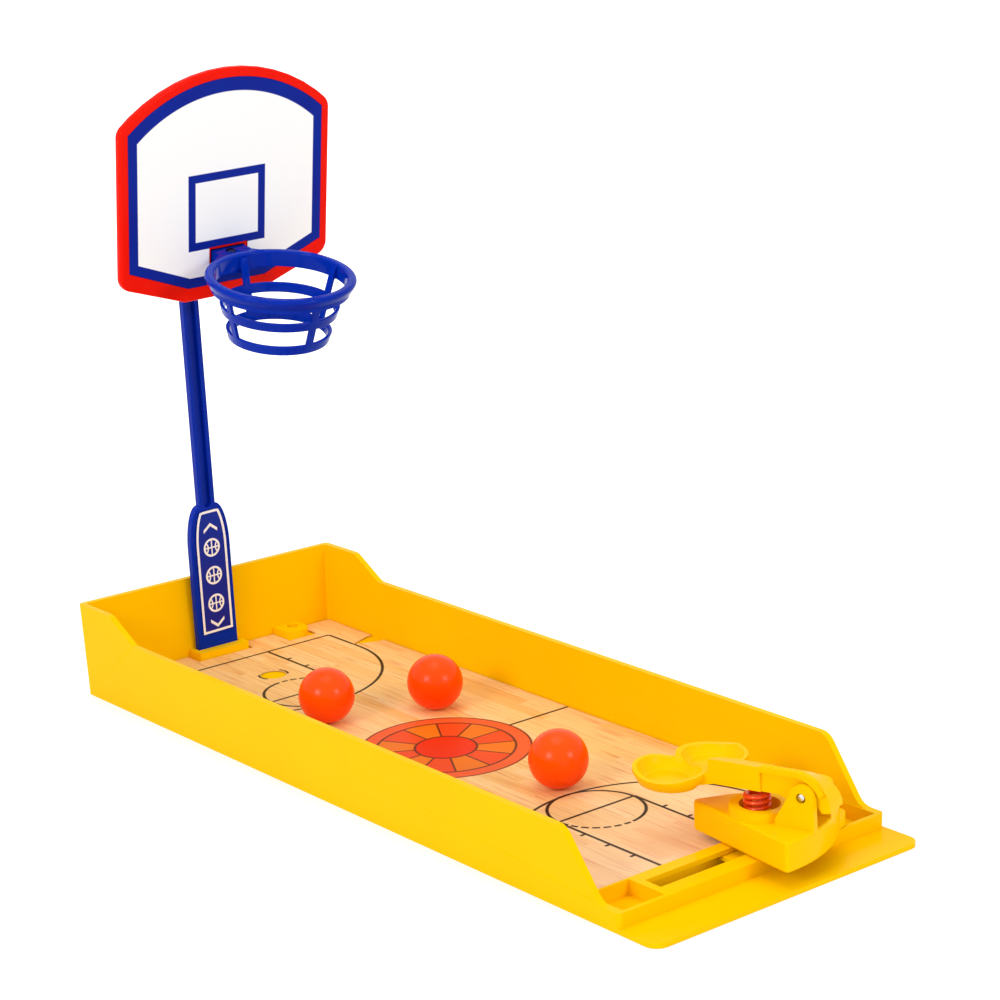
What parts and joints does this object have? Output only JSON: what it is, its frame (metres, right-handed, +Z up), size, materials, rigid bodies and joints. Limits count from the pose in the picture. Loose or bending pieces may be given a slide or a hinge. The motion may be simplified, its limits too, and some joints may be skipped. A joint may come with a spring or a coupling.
{
  "type": "tabletop basketball game",
  "caption": "Tabletop basketball game: drafted tray with printed court, plug-in pole with backboard and hoop, swivelling spring launcher on a slot, loose balls.",
  "frame": {"origin": "centre of the tray's flat underside, on the table", "axes": "+Z up, +Y from the player towards the basket, +X to the player's right"},
  "size_m": [0.1272, 0.3533, 0.2589],
  "materials": {
    "yellow_moulding": "glossy yellow injection-moulded polystyrene",
    "blue_moulding": "glossy royal blue injection-moulded polystyrene",
    "red_moulding": "glossy red injection-moulded polystyrene",
    "court_print": "satin printed card with wood boards and dark court lines",
    "label_print": "satin dark blue printed label with a white border",
    "board_print": "white printed film with dark blue border and square",
    "steel": "bright zinc-plated steel",
    "spring_wire": "round spring wire with a clear red-orange lacquer",
    "orange_ball": "glossy orange hollow plastic ball"
  },
  "bodies": {
    "frame": {"tray": "yellow_moulding", "court_sheet": "court_print", "pole": "blue_moulding", "pole_label": "label_print", "board_arm": "blue_moulding", "backboard": "red_moulding", "board_print": "board_print", "hoop": "blue_moulding", "hoop_screw": "steel"},
    "slider": {"slide_shoe": "yellow_moulding"},
    "launcher": {"launcher_base": "yellow_moulding", "swivel_washer": "steel", "swivel_screw": "steel", "pivot_pin": "steel", "launch_spring": "spring_wire"},
    "arm": {"launcher_arm": "yellow_moulding"},
    "ball_one": {"ball_1": "orange_ball"},
    "ball_two": {"ball_2": "orange_ball"},
    "ball_three": {"ball_3": "orange_ball"}
  },
  "joints": [
    {"name": "launcher_slide", "type": "slide", "parent": "frame", "child": "slider", "axis": [1, 0, 0], "range_m": [-0.0352, 0.0108]},
    {"name": "launcher_swivel", "type": "hinge", "parent": "slider", "child": "launcher", "pos_m": [0.0122, -0.1564, 0.01], "axis": [0, 0, 1], "range_deg": [-45, 5]},
    {"name": "arm_pivot", "type": "hinge", "parent": "launcher", "child": "arm", "pos_m": [0.0187, -0.17425, 0.0295], "axis": [0.9397, 0.342, 0], "range_deg": [-11, 18], "stiffness_Nm_per_rad": 0.6, "deforming": ["launch_spring"]},
    {"name": "ball_1_lift", "type": "slide", "parent": "frame", "child": "ball_one", "axis": [0, 0, 1], "range_m": [0, 0.12]},
    {"name": "ball_2_lift", "type": "slide", "parent": "frame", "child": "ball_two", "axis": [0, 0, 1], "range_m": [0, 0.12]},
    {"name": "ball_3_lift", "type": "slide", "parent": "frame", "child": "ball_three", "axis": [0, 0, 1], "range_m": [0, 0.12]}
  ]
}
